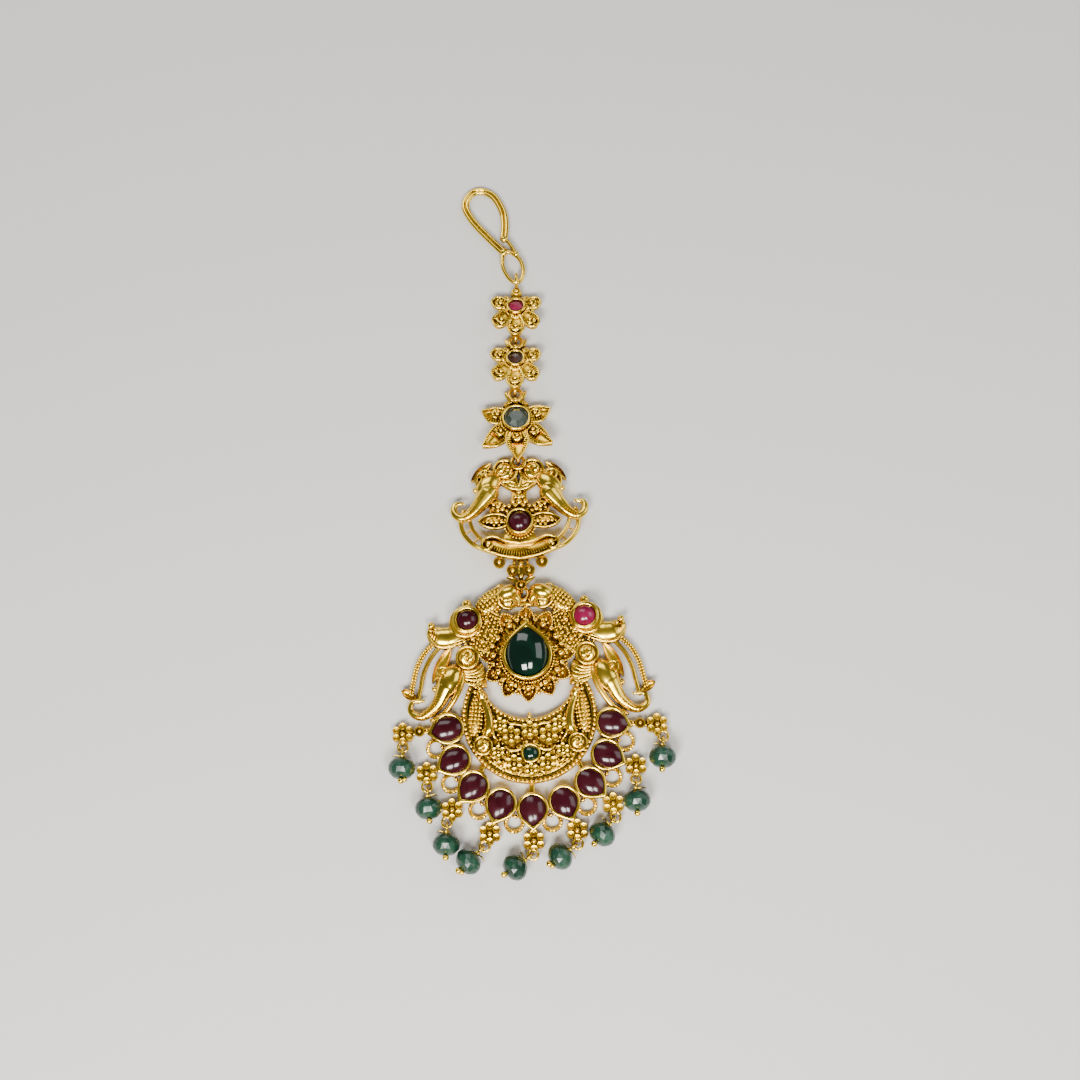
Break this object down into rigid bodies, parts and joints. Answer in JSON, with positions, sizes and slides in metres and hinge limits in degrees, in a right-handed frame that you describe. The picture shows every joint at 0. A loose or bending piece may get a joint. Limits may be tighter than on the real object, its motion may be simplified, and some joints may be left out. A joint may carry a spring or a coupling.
{
  "type": "forehead jewel",
  "caption": "Forehead jewel: hair hook, flower and elephant links, and a round pendant with a crescent, rubies and hanging green beads.",
  "frame": {"origin": "on the pendant's back plane, below the top of the large emerald", "axes": "+Z out of the face of the jewel, +Y from the pendant towards the hair hook, +X to the right when it is looked at from its face"},
  "size_m": [0.0442, 0.1158, 0.0054],
  "materials": {
    "gold": "antique gold: polished on the high places, darker in the recesses",
    "ruby": "dark maroon polished cabochon",
    "pink_stone": "pink-red polished stone",
    "dark_stone": "very dark brown polished stone",
    "grey_green_stone": "grey-green polished stone",
    "emerald": "very dark green polished cabochon",
    "green_bead": "cloudy green faceted bead"
  },
  "bodies": {
    "root": {"hook": "gold", "flower_link_1": "gold", "flower_link_2": "gold", "star_link": "gold", "elephant_link": "gold", "pendant_frame": "gold", "flower_stone_1": "pink_stone", "flower_stone_2": "dark_stone", "star_stone": "grey_green_stone", "elephant_ruby": "ruby", "emerald": "emerald", "bird_ruby_left": "ruby", "bird_ruby_right": "pink_stone", "crescent_stone": "emerald", "pear_ruby_1": "ruby", "pear_ruby_2": "ruby", "pear_ruby_3": "ruby", "pear_ruby_4": "ruby", "pear_ruby_5": "ruby", "pear_ruby_6": "ruby", "pear_ruby_7": "ruby", "pear_ruby_8": "ruby", "pear_ruby_9": "ruby", "drop_pin_1": "gold", "drop_pin_2": "gold", "drop_pin_3": "gold", "drop_pin_4": "gold", "drop_pin_5": "gold", "drop_pin_6": "gold", "drop_pin_7": "gold", "drop_pin_8": "gold", "drop_pin_9": "gold", "drop_bead_1": "green_bead", "drop_bead_2": "green_bead", "drop_bead_3": "green_bead", "drop_bead_4": "green_bead", "drop_bead_5": "green_bead", "drop_bead_6": "green_bead", "drop_bead_7": "green_bead", "drop_bead_8": "green_bead", "drop_bead_9": "green_bead"}
  },
  "joints": []
}
